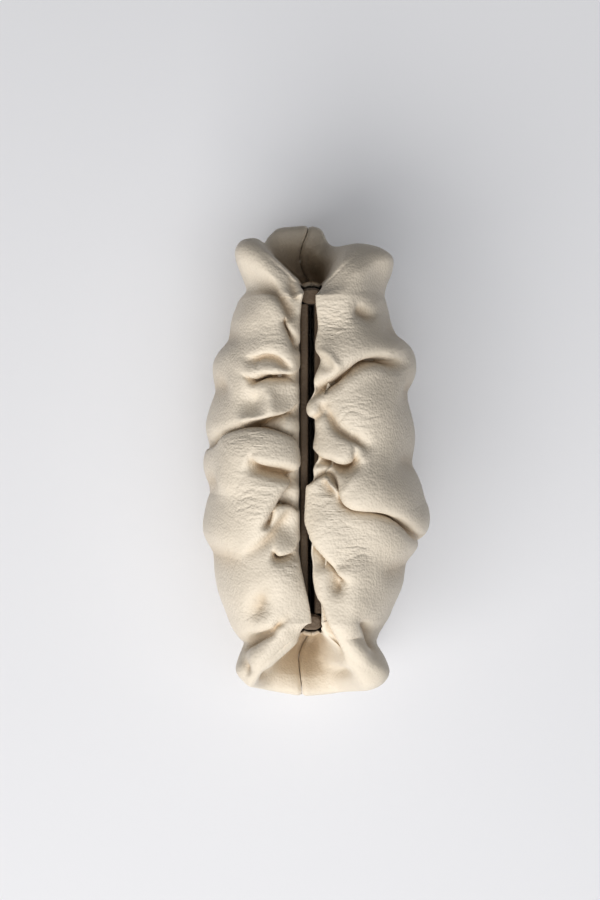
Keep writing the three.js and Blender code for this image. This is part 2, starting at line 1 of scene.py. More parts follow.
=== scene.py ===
"""A gathered leather clutch bag that stands shut on a pale table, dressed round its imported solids.

Sizes are in millimetres where a name doesn't say otherwise and become metres as meshes are made.
X runs along the mouth, the front panel faces -Y, and Z is up from the table. A place "along" a panel
runs from -2 at the left end seam over -1 at the left hinge, 0 in the middle and 1 to 2 at the right.
"""

from __future__ import annotations

import logging
import math
from dataclasses import dataclass
from enum import Enum
from typing import NamedTuple

import bpy
import numpy as np
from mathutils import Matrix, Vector

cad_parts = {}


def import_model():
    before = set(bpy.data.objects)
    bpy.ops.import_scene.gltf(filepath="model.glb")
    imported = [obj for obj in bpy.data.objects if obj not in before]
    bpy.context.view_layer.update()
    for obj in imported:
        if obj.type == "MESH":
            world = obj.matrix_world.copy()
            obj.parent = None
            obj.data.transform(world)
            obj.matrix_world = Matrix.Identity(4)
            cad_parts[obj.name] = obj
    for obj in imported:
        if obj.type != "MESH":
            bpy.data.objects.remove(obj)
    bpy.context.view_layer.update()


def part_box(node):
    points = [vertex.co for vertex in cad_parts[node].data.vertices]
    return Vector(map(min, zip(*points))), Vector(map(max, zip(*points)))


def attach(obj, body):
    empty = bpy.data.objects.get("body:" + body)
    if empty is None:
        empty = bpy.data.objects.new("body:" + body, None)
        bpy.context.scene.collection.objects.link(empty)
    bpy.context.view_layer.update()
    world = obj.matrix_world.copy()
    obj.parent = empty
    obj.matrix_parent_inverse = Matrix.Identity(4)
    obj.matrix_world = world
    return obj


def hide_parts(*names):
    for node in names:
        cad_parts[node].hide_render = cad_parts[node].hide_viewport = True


log = logging.getLogger("bag")

MM = 0.001
RIGHT_ANGLE = math.pi / 2
TINY = 1e-9
Array = np.ndarray
Colour = tuple[float, float, float]
Place = tuple[float, float, float]
Curve = tuple[tuple[float, float], ...]
Socket = bpy.types.NodeSocket
Material = bpy.types.Material


class Facing(Enum):
    """The way a panel faces along Y."""

    FRONT = -1
    BACK = 1


class Roll(Enum):
    """The side of a fold's route that its puffed roll is on, with the way out pointing up."""

    LEFT = 1
    RIGHT = -1


LEFT, RIGHT = Roll.LEFT, Roll.RIGHT


class Profile(NamedTuple):
    """A panel's profile: heights are shares of the height, distances shares of the reach."""

    along: float
    lip: float
    crest_at: float
    crest: float
    shoulder: float
    hip: float
    waist: float
    belly: float
    foot: float


class Fold(NamedTuple):
    """A groove along a route, with a puffed roll on one side that can lap over it.

    The route is seen from above, as X along the mouth and the distance out from the mouth's line, which
    goes on along the leather down the side. A negative depth makes a ridge. The fold is as strong as
    open says where it starts, and it dies away over the share fade of its end.
    """

    route: Curve
    deep: float
    wide: float
    rise: float = 0.0
    spread: float = 6.0
    roll: Roll = LEFT
    lap: float = 0.0
    open: float = 1.0
    fade: float = 0.33


class Spot(NamedTuple):
    """A soft round dent, or with a negative amount a swelling, or a crinkled patch."""

    x: float
    out: float
    amount: float
    wide: float

    def at(self, flat: Array) -> Array:
        """Give the spot's strength at places on the flat pattern."""
        away = np.linalg.norm(flat - np.array((self.x, self.out)), axis=-1)
        return self.amount * bell(away, self.wide)


# how far each panel reaches from the mouth's line along it, as a share of its half of the bag
FRONT_REACH: Curve = (
    (-2, 1), (-1.86, 1), (-1.75, 0.98), (-1.69, 0.9), (-1.62, 0.79), (-1.54, 0.85), (-1.45, 0.9),
    (-1.38, 0.875), (-1.32, 0.81), (-1.25, 0.71), (-1.17, 0.625), (-1.09, 0.6), (-1, 0.66),
    (-0.74, 0.78), (-0.43, 0.9), (-0.23, 0.95), (-0.11, 0.94), (0.13, 0.98), (0.23, 0.91), (0.49, 0.95),
    (0.8, 0.86), (1, 0.75), (1.1, 0.715), (1.19, 0.68), (1.25, 0.67), (1.32, 0.78), (1.39, 0.89),
    (1.47, 0.93), (1.6, 0.955), (1.75, 1.01), (2, 1.06),
)
BACK_REACH: Curve = (
    (-2, 1), (-1.9, 0.96), (-1.8, 0.83), (-1.71, 0.76), (-1.63, 0.735), (-1.54, 0.78),
    (-1.45, 0.82), (-1.38, 0.85), (-1.3, 0.86), (-1.23, 0.8), (-1.15, 0.71), (-1.07, 0.66),
    (-1, 0.66), (-0.79, 0.8), (-0.67, 0.9), (-0.52, 0.92), (-0.38, 0.91), (-0.13, 0.95), (0.28, 0.97),
    (0.43, 1.01), (0.59, 0.94), (0.8, 0.85), (1, 0.71), (1.1, 0.66), (1.19, 0.645), (1.26, 0.67),
    (1.33, 0.82), (1.39, 0.93), (1.5, 1), (1.65, 1.03), (1.8, 1.05), (2, 1.06),
)
PROFILES = (
    Profile(0, 0.92, 0.36, 0.98, 0.88, 0.67, 0.44, 0.96, 0.66),
    Profile(0.6, 0.92, 0.36, 0.965, 0.865, 0.66, 0.44, 0.96, 0.66),
    Profile(0.9, 0.91, 0.38, 0.94, 0.835, 0.65, 0.45, 0.97, 0.68),
    Profile(1.1, 0.9, 0.4, 0.92, 0.8, 0.64, 0.48, 0.99, 0.72),
    Profile(1.22, 0.89, 0.42, 0.9, 0.78, 0.68, 0.53, 0.98, 0.74),
    Profile(1.33, 0.88, 0.46, 0.885, 0.83, 0.745, 0.6, 0.88, 0.66),
    Profile(1.45, 0.86, 0.48, 0.865, 0.83, 0.75, 0.62, 0.84, 0.64),
    Profile(1.55, 0.82, 0.48, 0.82, 0.79, 0.72, 0.58, 0.86, 0.64),
    Profile(1.63, 0.66, 0.42, 0.57, 0.6, 0.57, 0.49, 0.9, 0.66),
    Profile(1.71, 0.5, 0.34, 0.34, 0.46, 0.46, 0.4, 0.94, 0.67),
    Profile(1.82, 0.42, 0.3, 0.24, 0.42, 0.43, 0.37, 0.96, 0.68),
    Profile(2, 0.4, 0.28, 0.21, 0.41, 0.425, 0.36, 0.96, 0.68),
)
# how far each lip leans over the mouth along it, as a share of the mouth's whole width
FRONT_LEAN: Curve = (
    (-2, 0), (-1.45, 0), (-1.25, 0.15), (-1, 0.15), (-0.8, 0), (0.6, 0), (0.75, 0.2), (0.88, 0.42),
    (1, 0.53), (1.15, 0.46), (1.3, 0.2), (1.45, 0), (2, 0),
)
BACK_LEAN: Curve = (
    (-2, 0), (-1.45, 0), (-1.25, 0.22), (-1.1, 0.3), (-0.97, 0.34), (-0.8, 0.26), (-0.69, 0.33),
    (-0.6, 0.1), (-0.45, 0.5), (-0.38, 0.62), (-0.29, 0.7), (-0.2, 0.34), (-0.05, 0.45), (0.1, 0.5),
    (0.17, 0.74), (0.45, 0.76), (0.62, 0.58), (0.79, 0.37), (0.9, 0.15), (1.1, 0.08), (1.3, 0),
    (2, 0),
)
FRONT_FOLDS = (
    # left ear: its valley, its inner edge and the slit beside it
    Fold(((-69, 7), (-73, 9.5), (-79, 13), (-84, 17.5), (-88, 23), (-92, 29)),
         4.5, 4.5, 1.5, 7, RIGHT, 1.5, 0.3, 0.5),
    Fold(((-80, 5), (-83, 7), (-89, 9), (-95.5, 11.5)), 2.5, 1.8, 0.8, 3, LEFT, 0, 0.6, 0.4),
    Fold(((-56, -2), (-57.5, 6), (-60.5, 8), (-65.5, 11), (-69.5, 13.5), (-71, 15)),
         6, 2, 1.5, 4, LEFT, 2.5),
    # eyelid, the pipe below it and the first slit
    Fold(((-46, 8), (-49, 12), (-52, 17), (-53, 23), (-51.5, 29), (-49, 35)),
         3.6, 2.2, 2, 6, LEFT, 2.5, 0.1, 0.3),
    Fold(((-45.5, 4), (-46.5, 15), (-46, 23), (-44, 31)), -1.8, 2.6, open=0.8),
    Fold(((-43, -4), (-43, 7), (-43, 17.5), (-43, 24), (-41.5, 30), (-40, 34)),
         12, 2.6, 1.5, 5, LEFT, 3.7, 1, 0.2),
    # the hollow lobe: its dimple, the rim beside the dimple and the rolled edge
    Fold(((-35, 24), (-32, 21.5), (-28, 21), (-24.5, 23.5)), -1.8, 2.4, open=0.5),
    Fold(((-24, -3), (-26, 7), (-24, 18), (-23, 26.5), (-21.5, 34), (-18, 38)),
         -2.2, 2.4, fade=0.2),
    Fold(((-22, -4), (-25, 6.5), (-22.5, 16), (-20.5, 25.5), (-19, 32), (-15.5, 38)),
         10, 2.5, 1, 4, LEFT, 3.4, 1, 0.2),
    # the middle lobe's edge
    Fold(((-8, -4), (-9, 6), (-12, 13.5), (-14, 19.5), (-15, 27), (-14, 36), (-11, 45.5), (-8, 50),
          (-6, 60), (-8, 80)),
         8.5, 2.4, 3, 12, RIGHT, 4, 1, 0.35),
    # second slit
    Fold(((8, -4), (6.5, 6), (5.5, 15.5), (5, 22), (4, 26.5), (1.5, 31)),
         11, 2.5, 0.9, 6, LEFT, 2, 1, 0.2),
    # the hanging edge, the small lobe under it and the slanting valley below
    Fold(((9, -4), (9.5, 6), (11.5, 9.5), (15.5, 13.5), (19.5, 16.5), (25.5, 20.5), (31, 23),
          (36.5, 23.5)),
         8.5, 2.8, 2.5, 8, LEFT, 4, 1, 0.2),
    Fold(((23.5, -4), (23.5, 4.5), (23, 11.5), (23.8, 17.5), (27, 21.5)),
         7, 2, 1.5, 4, RIGHT, 2.5, 1, 0.2),
    Fold(((26, 9), (30, 12.5), (35, 17.5), (40.5, 22.5), (47, 30.5), (55, 41)),
         3.4, 3.2, 1.8, 7, LEFT, 1, 0.3, 0.5),
    # third slit
    Fold(((43, -4), (45, 5), (46.5, 8.5), (48, 12.5), (48.5, 16.5), (47, 21)),
         10.5, 2.5, 1.8, 5, LEFT, 3.4, 1, 0.25),
    # the long soft hollow above the ear, and the ear's own crease
    Fold(((66, 23), (72, 26), (78, 28), (84, 26)), 3.2, 4.5, 1, 8, LEFT, 0, 0.2, 0.5),
    Fold(((80, 12), (84, 15.5), (88, 19), (91, 24), (94.5, 30), (98, 36)),
         4.2, 2.8, 2.2, 8, RIGHT, 2.5, 0.2, 0.2),
    Fold(((104, 34), (107.5, 33), (111, 30.5)), 3.5, 2, open=0.6, fade=0.4),
    # long soft folds down the side
    Fold(((-39, 40), (-37, 50), (-32, 90)), 2.5, 7.5, 1.6, 12, open=0),
    Fold(((12, 44), (13, 56), (17, 92)), 2.8, 6.5, 1.4, 10, RIGHT, open=0),
    Fold(((52, 30), (50, 54), (45, 95)), 2.5, 7.5, 1.6, 12, open=0),
    Fold(((-64, 32), (-62, 50), (-58, 85)), 2.2, 6.5, 1.2, 10, RIGHT, open=0),
)
BACK_FOLDS = (
    # left ear: its soft dent
    Fold(((-77, 21), (-75.5, 25), (-73.5, 29), (-71, 34)), 3.6, 3.2, 1.4, 7, LEFT, 1, 0.1, 0.4),
    # the hook's rim, and the long slit with the bright roll below it
    Fold(((-54, -2), (-54.8, 3), (-54.5, 7), (-51.5, 11), (-47.5, 12.5), (-42, 9.5)),
         -1.8, 1.7, fade=0.3),
    Fold(((-33, -9), (-34.8, -1), (-37.2, 4.5), (-40.2, 9.3), (-43, 14), (-46, 19), (-49, 24), (-51, 30),
          (-51.5, 36), (-49.5, 43), (-46, 50)),
         11.5, 3.2, 3.2, 9, LEFT, 3.5, 0.35, 0.2),
    Fold(((-38.5, 12.5), (-40, 15), (-42.5, 19), (-45.5, 26), (-47.5, 34), (-47, 41)),
         -2.4, 3.4, open=0.3),
    # the small lobe's edge and the soft valley beside it
    Fold(((-16, -8), (-19, -1), (-23, 3), (-27, 3.6), (-30, 3)), 4, 1.7, 0.8, 3, LEFT, 0.8, 1, 0.4),
    Fold(((-27, 7), (-24, 7.6), (-21, 8.5), (-15.5, 12), (-12, 17), (-9.5, 22), (-6.5, 27), (-2, 30)),
         4, 2.8, 1.8, 7, RIGHT, 1.5, 0.4, 0.3),
    # the black slit
    Fold(((-4, -9), (-1.5, 0), (0.3, 5), (1.2, 8.5), (3, 12.5), (3.4, 16.5), (2.2, 20), (-1.5, 24)),
         11.5, 2.6, 1.6, 6, LEFT, 2.6, 0.8, 0.15),
    # the pipe: the slit above it, its ridge and the slit inside it
    Fold(((13, -8), (10.5, -1), (8, 2.5), (7, 6), (8.5, 9), (11.5, 11.7), (16, 14.7), (22, 18)),
         5, 1.5, 1, 3, RIGHT, 0.8, 0.6, 0.2),
    Fold(((11, 5.5), (13, 8.7), (17, 12), (22, 15.5)), -1.6, 1.5, open=0.3),
    Fold(((9.5, 5), (12.5, 6.6), (16, 9), (20.5, 12)), 4.5, 1.6, 0.4, 3, LEFT, 0.4, 0.5, 0.4),
    # the draped edge
    Fold(((19, 14), (22, 15.8), (24.3, 20), (25, 25.5), (26, 34.5), (28.5, 42), (33.5, 48.5), (38.5, 53),
          (44, 62), (48, 84)),
         6.5, 2.6, 4.6, 10, LEFT, 4.5, 0.7, 0.35),
    # the big facet's hanging edge and the dimple under it
    Fold(((35, -10), (38, -4), (42, -1), (47, 3.5), (51.5, 8), (55.5, 11.5), (59.5, 14), (65, 16)),
         9, 2.8, 2, 8, LEFT, 3.8, 1, 0.2),
    Fold(((60, 9), (64, 12), (67.5, 14.5)), 2.4, 1.5, open=0.4, fade=0.4),
    # right ear: its crease, and the strip that runs along its inside
    Fold(((80, 24.5), (85, 26), (90, 28), (94.5, 30.5), (99, 35)),
         3.4, 2.8, 2, 8, RIGHT, 2, 0.1, 0.3),
    Fold(((70, -2), (73.5, 3), (83, 7), (91.5, 11.5), (100, 15.5), (108, 20)),
         3.2, 2, 1.2, 5, LEFT, 1, 0.6, 0.4),
    # long soft folds down the side
    Fold(((-37, 44), (-34, 56), (-30, 92)), 2.6, 7.5, 1.6, 12, open=0),
    Fold(((0, 40), (3, 56), (8, 90)), 2.2, 6.5, 1.4, 10, RIGHT, open=0),
    Fold(((58, 32), (56, 52), (51, 95)), 2.5, 7.5, 1.6, 12, open=0),
    Fold(((-68, 34), (-66, 48), (-62, 85)), 2.2, 6.5, 1.2, 10, RIGHT, open=0),
)
FRONT_DENTS = (
    Spot(-62, 31, 1.8, 8), Spot(-29.5, 30, 4.5, 5.5), Spot(-33, 12, 2.8, 8), Spot(-18, 18, 3, 5),
    Spot(20, 9, 5, 4), Spot(36, 10, 2.5, 6), Spot(-70, 34, -1.5, 9), Spot(16, 36, -2.5, 14),
    Spot(62, 14, -2.5, 10), Spot(-3, 30, -2, 10), Spot(111, 20, 4, 3.5),
)
BACK_DENTS = (
    Spot(-67, 10, 1.8, 9), Spot(-48.5, 6, 3.5, 3.4), Spot(-2.5, 20, 2, 3.5), Spot(52, 2, 4, 4.5),
    Spot(64.5, 13, 4, 4), Spot(-24, 30, -2.5, 14), Spot(45, 24, 2.2, 10), Spot(12, 32, -1.5, 10),
    Spot(32, 8, -1.8, 8), Spot(76, 24, -1.5, 10), Spot(50, 17, 2, 5), Spot(112, 19, 4, 3.5),
    Spot(-92, 24, -1.5, 9),
)
FRONT_CRINKLES = (
    Spot(-5, 28, 0.9, 9), Spot(20, 28, 0.9, 14), Spot(77, 28, 0.7, 8), Spot(-58, 20, 0.5, 12),
    Spot(55, 8, 0.6, 9), Spot(-50, 28, 0.7, 7), Spot(48, 34, 0.5, 8),
)
BACK_CRINKLES = (
    Spot(-69, 11, 1, 11), Spot(-52, 42, 0.8, 8), Spot(-18, 20, 0.8, 14),
    Spot(18, 8, 0.9, 9), Spot(30, 16, 1, 12), Spot(46, 22, 0.9, 12), Spot(62, 14, 0.7, 7),
    Spot(30, 40, 0.5, 10),
)


class PanelTables(NamedTuple):
    """Everything that differs between the two panels."""

    reach: Curve
    lean: Curve
    folds: tuple[Fold, ...]
    dents: tuple[Spot, ...]
    crinkles: tuple[Spot, ...]


PANELS = {
    Facing.FRONT: PanelTables(FRONT_REACH, FRONT_LEAN, FRONT_FOLDS, FRONT_DENTS, FRONT_CRINKLES),
    Facing.BACK: PanelTables(BACK_REACH, BACK_LEAN, BACK_FOLDS, BACK_DENTS, BACK_CRINKLES),
}


def smoothstep(t: Array) -> Array:
    """Ease from 0 to 1 as t goes from 0 to 1."""
    c = np.clip(t, 0.0, 1.0)
    return c * c * (3 - 2 * c)


def bell(distance: Array, wide: Array | float) -> Array:
    """Fall smoothly from 1 at no distance to nearly 0 at twice the width."""
    return np.exp(-((distance / wide) ** 2))


def mix(a: Array | float, b: Array | float, t: Array | float) -> Array | float:
    """Blend from a to b."""
    return a + (b - a) * t


def lengths(steps: Array) -> Array:
    """Measure steps, keeping their last axis."""
    return np.linalg.norm(steps, axis=-1, keepdims=True)


def read(curve: Curve, at: Array) -> Array:
    """Read a smooth curve through pairs of a place and a value.

    Args:
        curve: the pairs, in order.
        at: the places to read.

    Returns:
        The values there.
    """
    x, y = np.array(curve, float).T
    last = len(x) - 1
    before = np.maximum(np.arange(last + 1) - 1, 0)
    after = np.minimum(np.arange(last + 1) + 1, last)
    slope = (y[after] - y[before]) / (x[after] - x[before])
    place = np.clip(at, x[0], x[-1])
    i = np.clip(np.searchsorted(x, place, side="left") - 1, 0, last - 1)
    span = x[i + 1] - x[i]
    t = (place - x[i]) / span
    h = t * t * (3 - 2 * t)
    bend = (1 - t) * slope[i] - t * slope[i + 1]
    return y[i] * (1 - h) + y[i + 1] * h + span * t * (1 - t) * bend


def through(points: Array, span: int, t: Array) -> Array:
    """Follow a centripetal curve through points.

    Args:
        points: for each line, its points.
        span: which stretch between two points to follow.
        t: how far along the stretch, from 0 to 1.

    Returns:
        For each line and each t, the place.
    """
    last, too_near = points.shape[1] - 1, 1e-4
    p1, p2 = points[:, span], points[:, span + 1]
    p0 = points[:, span - 1] if span > 0 else 2 * p1 - p2
    p3 = points[:, span + 2] if span + 2 <= last else 2 * p2 - p1
    d0, d1, d2 = (np.sqrt(lengths(b - a)) for a, b in ((p0, p1), (p1, p2), (p2, p3)))
    d1 = np.where(d1 < too_near, 1.0, d1)
    d0, d2 = np.where(d0 < too_near, d1, d0), np.where(d2 < too_near, d1, d2)
    m1 = ((p1 - p0) / d0 - (p2 - p0) / (d0 + d1) + (p2 - p1) / d1) * d1
    m2 = ((p2 - p1) / d1 - (p3 - p1) / (d1 + d2) + (p3 - p2) / d2) * d1
    a, b, c, d, t = p1[:, None], p2[:, None], m1[:, None], m2[:, None], t[None, :, None]
    return a + c * t + (3 * (b - a) - 2 * c - d) * t**2 + (2 * (a - b) + c + d) * t**3


class Grain:
    """Smooth random relief on a lattice, the same in every run."""

    SIZE = 256

    def __init__(self, seed: int) -> None:
        """Fill the lattice with the relief of this seed."""
        self.lattice = np.random.default_rng(seed).uniform(-1.0, 1.0, (self.SIZE, self.SIZE))

    def at(self, x: Array, y: Array) -> Array:
        """Read the relief between -1 and 1.

        Args:
            x: the places' first coordinate, in lattice steps.
            y: their second coordinate.

        Returns:
            The relief there.
        """
        ix, iy = np.floor(x).astype(int), np.floor(y).astype(int)
        fx, fy = smoothstep(x - ix), smoothstep(y - iy)

        def corner(a: int, b: int) -> Array:
            """Read the lattice's knot a steps and b steps on."""
            return self.lattice[(ix + a) % self.SIZE, (iy + b) % self.SIZE]

        return mix(mix(corner(0, 0), corner(1, 0), fx), mix(corner(0, 1), corner(1, 1), fx), fy)


@dataclass(frozen=True)
class BagForm:
    """The sizes that the whole bag shares, in millimetres, and its curves."""

    length: float = 250.0
    depth: float = 117.0
    height: float = 114.0
    bottom_tuck: float = 0.82
    mouth_length: float = 166.0
    mouth_gap: float = 3.1
    bar_width: float = 4.1
    bar_drop: float = 18.0
    wall: float = 2.0
    hem_drop: float = 8.0
    lip_rise: float = 1.0
    clearance: float = 0.3
    bottom_clearance: float = 0.03
    belly_height: float = 0.5
    heel_height: float = 0.045
    heel_blend: float = 0.66
    shoulder_at: float = 0.72
    hip_at: float = 0.94
    neck_rise: float = 0.55
    brow_at: float = 0.12
    brow_rise: float = 0.8
    brow_lean: float = 0.5
    slack_from: float = 1.35
    slack_over: float = 0.25
    neck_slack: float = 1.4
    lip_slack: float = 2.0
    brow_slack: float = 1.2
    flat_cut: tuple[float, float] = (360.0, 190.0)
    drift_deep: tuple[float, float] = (-0.05, -0.055)
    drift_tip: tuple[float, float] = (-0.01, -0.04)
    drift_from: float = 1.45
    drift_full: float = 1.7

    @property
    def half_mouth(self) -> float:
        """Half of the mouth's length."""
        return self.mouth_length / 2

    @property
    def half_depth(self) -> float:
        """Half of the depth."""
        return self.depth / 2

    @property
    def end_reach(self) -> float:
        """How far the bag goes on past each hinge."""
        return (self.length - self.mouth_length) / 2

    @property
    def hem_offset(self) -> float:
        """The hem's distance from the mouth's centre line."""
        return self.mouth_gap / 2 + self.bar_width + self.clearance

    @property
    def bar_top(self) -> float:
        """The height of the bars' tops."""
        return self.height - self.bar_drop

    @property
    def hem_z(self) -> float:
        """The height of the hem's edge."""
        return self.bar_top - self.hem_drop

    def lines(self, along: Array) -> tuple[Array, Array]:
        """Find where fold lines leave the hem and which way they run out.

        Args:
            along: the places along the panel.

        Returns:
            The starts and the unit directions, seen from above.
        """
        turn = np.sign(along) * np.maximum(0, np.abs(along) - 1) * RIGHT_ANGLE
        out = np.stack([np.sin(turn), np.cos(turn)], -1)
        hub = np.sign(along) * np.minimum(1, np.abs(along)) * self.half_mouth
        start = out * self.hem_offset
        start[..., 0] += hub
        return start, out

    def reach(self, table: Curve, along: Array) -> Array:
        """Measure from the hem to the outline along fold lines.

        Args:
            table: one panel's outline.
            along: the places along the panel.

        Returns:
            The distances.
        """
        _, out = self.lines(along)
        full = self.half_depth * out[..., 1] ** 2 + self.end_reach * out[..., 0] ** 2
        return read(table, along) * full - self.hem_offset

    def profile_points(self, tables: PanelTables, along: Array, reach: Array) -> Array:
        """Give the points that each fold line passes, from the hem over the crest to the foot.

        Args:
            tables: the panel's tables.
            along: the places along the panel.
            reach: how far each fold line reaches.

        Returns:
            For each line its points, as distance out and height.
        """
        row = {}
        for name in Profile._fields[1:]:
            row[name] = read(tuple((p.along, getattr(p, name)) for p in PROFILES), np.abs(along))
        lip, crest, shoulder = (row[name] * self.height for name in ("lip", "crest", "shoulder"))
        hip, waist = row["hip"] * self.height, row["waist"] * self.height
        lean = read(tables.lean, along) * 2 * self.hem_offset
        slack = self.wall * smoothstep((np.abs(along) - self.slack_from) / self.slack_over)
        heel = mix(row["foot"], row["belly"], self.heel_blend)
        brow = self.brow_slack * slack + self.brow_at * reach - self.brow_lean * lean
        zero, hem = np.zeros_like(along), np.full_like(along, self.hem_z)
        points = [
            (slack, hem),
            (self.neck_slack * slack, mix(hem, lip, self.neck_rise)),
            (self.lip_slack * slack - lean, lip),
            (brow, mix(lip, crest, self.brow_rise)),
            (row["crest_at"] * reach, crest),
            (self.shoulder_at * reach, shoulder),
            (self.hip_at * reach, hip),
            (reach, waist),
            (row["belly"] * reach, waist * self.belly_height),
            (heel * reach, zero + self.heel_height * self.height),
            (row["foot"] * reach, zero),
        ]
        return np.stack([np.stack(p, -1) for p in points], 1)

    def drift(self, x: Array, along: Array) -> Array:
        """Let the bag's ends drift sideways, more and more from the ears to the seam.

        Args:
            x: the places' own X.
            along: the places along the panel.

        Returns:
            The steps along Y.
        """
        rim = self.hem_offset + self.wall
        out = np.clip((np.abs(x) - self.half_mouth - rim) / (self.end_reach - rim), 0, 1)
        deep = np.where(x < 0, self.drift_deep[0], self.drift_deep[1])
        tip = np.where(x < 0, self.drift_tip[0], self.drift_tip[1])
        pull = smoothstep((np.abs(along) - self.drift_from) / (self.drift_full - self.drift_from))
        return self.depth * pull * (deep * smoothstep(out * 2) + (tip - deep) * smoothstep(out * 2 - 1))


def measure(route: Array, flat: Array) -> tuple[Array, ...]:
    """Measure places against a smooth line, blending where two of its stretches are as near.

    Args:
        route: the places that the line passes, on the flat pattern.
        flat: the places to measure, on it too.

    Returns:
        The sideways and the plain distance, how far past an end each place lies, the share of the
        line travelled, and the way to the left.
    """
    steps, near, sharp = 6, 0.5, 10
    t = np.arange(steps) / steps
    spans = [through(route[None], span, t)[0] for span in range(len(route) - 1)]
    line = np.concatenate([*spans, route[-1:]])
    run = np.diff(line, axis=0)
    away = flat[:, None] - line[:-1]
    t = np.clip(np.sum(away * run, -1) / np.sum(run * run, -1), 0, 1)
    size = np.linalg.norm(away - t[..., None] * run, axis=-1)
    least = size.min(1)
    weight = ((least[:, None] + near) / (size + near)) ** sharp
    weight /= weight.sum(1, keepdims=True)
    left = np.stack([-run[:, 1], run[:, 0]], -1) / lengths(run)
    sideways = np.sum(weight * np.sum(away * left, -1), 1)
    beyond = np.sqrt(np.maximum(0, least**2 - sideways**2))
    travelled = np.sum(weight * (np.arange(len(run)) + t), 1) / len(run)
    return sideways, least, beyond, travelled, weight @ left


@dataclass(frozen=True)
class FoldShape:
    """How a fold shapes the leather, as shares of its width, its spread or its route."""

    margin: float = 3.2
    end_fade: float = 0.6
    under_width: float = 1.35
    opening: float = 3.0
    lap_full: float = 1.3
    under_lap: float = 0.3
    # painted shade along each groove: its width as a share of the fold's width, and the groove depth at which
    # it is full
    shade_width: float = 0.7
    shade_full_depth: float = 7.0

    def push(self, fold: Fold, flat: Array) -> tuple[Array, Array, Array]:
        """Work out what one fold does.

        Args:
            fold: the fold.
            flat: places on the flat pattern.

        Returns:
            The push outwards, the sideways shift over the pattern, and how much painted shade each place gets
            in the groove.
        """
        push, crease, shift = np.zeros(flat.shape[:-1]), np.zeros(flat.shape[:-1]), np.zeros_like(flat)
        route = np.array(fold.route, float)
        margin = self.margin * max(fold.wide, fold.spread)
        near = np.all((flat > route.min(0) - margin) & (flat < route.max(0) + margin), axis=-1)
        sideways, away, beyond, travelled, left = measure(route, flat[near])
        sideways, left = sideways * fold.roll.value, left * fold.roll.value
        beside = bell(beyond, self.end_fade * fold.spread)
        opened = mix(fold.open, 1, smoothstep(travelled * self.opening))
        strength = opened * smoothstep((1 - travelled) / fold.fade)
        wide = mix(self.under_width, 1.0, smoothstep(0.5 + sideways / fold.wide)) * fold.wide
        groove = fold.deep * bell(away, wide)
        off = np.maximum(0, sideways) / fold.spread
        roll = fold.rise * off * np.exp((1 - off**2) / 2)
        full = self.lap_full * fold.wide
        over = -smoothstep(sideways / full) * bell(np.maximum(0, sideways - full), fold.spread)
        under = smoothstep(-sideways / full) * bell(np.maximum(0, -sideways - full), fold.wide)
        lap = fold.lap * strength * beside * np.where(sideways > 0, over, self.under_lap * under)
        push[near] = strength * (roll * beside - groove)
        shift[near] = lap[:, None] * left
        # painted shade, darkest along the groove of a deep fold, where shade falls
        if fold.deep > 0:
            sharp = min(1.0, fold.deep / self.shade_full_depth)
            crease[near] = strength * bell(away, self.shade_width * fold.wide) * sharp
        return push, shift, crease


@dataclass(frozen=True)
class Relief:
    """The leather's own unevenness: broad waves everywhere and fine wrinkles in crinkled patches."""

    seed: int
    origin: tuple[float, float] = (200.0, 20.0)
    broad: tuple[float, float] = (24.0, 30.0)
    broad_deep: float = 0.7
    lesser: tuple[float, float] = (11.0, 17.0)
    lesser_deep: float = 0.3
    lesser_from: float = 40.0
    wrinkle: tuple[float, float] = (1.9, 7.5)
    wrinkle_bend: float = 1.6
    bend_size: float = 8.0
    wrinkle_deep: float = 0.4
    wrinkle_sharp: float = 3.0

    def push(self, flat: Array, crinkle: Array) -> Array:
        """Give the push outwards.

        Args:
            flat: places on the flat pattern.
            crinkle: how crinkled each place is.

        Returns:
            The pushes, in millimetres.
        """
        waves, fine = Grain(self.seed + 1), Grain(self.seed + 2)
        u, v = flat[..., 0] + self.origin[0], flat[..., 1] + self.origin[1]
        push = self.broad_deep * waves.at(u / self.broad[0], v / self.broad[1])
        push += self.lesser_deep * waves.at(u / self.lesser[0] + self.lesser_from, v / self.lesser[1])
        bend = self.wrinkle_bend * waves.at(u / self.bend_size, v / self.bend_size)
        line = fine.at(u / self.wrinkle[0] + bend, v / self.wrinkle[1])
        return push - self.wrinkle_deep * crinkle * np.maximum(0, 1 - self.wrinkle_sharp * np.abs(line))


class Sheet(NamedTuple):
    """A panel laid out as columns of places: one column for each fold line, one row for each step."""

    space: Array
    flat: Array
    hold: Array
    along: Array


class Skin(NamedTuple):
    """A panel's leather: its outside and inside, its painted shade in creases and end pockets, and how
    crinkled it is.
    """

    outer: Array
    inner: Array
    crease: Array
    crinkle: Array


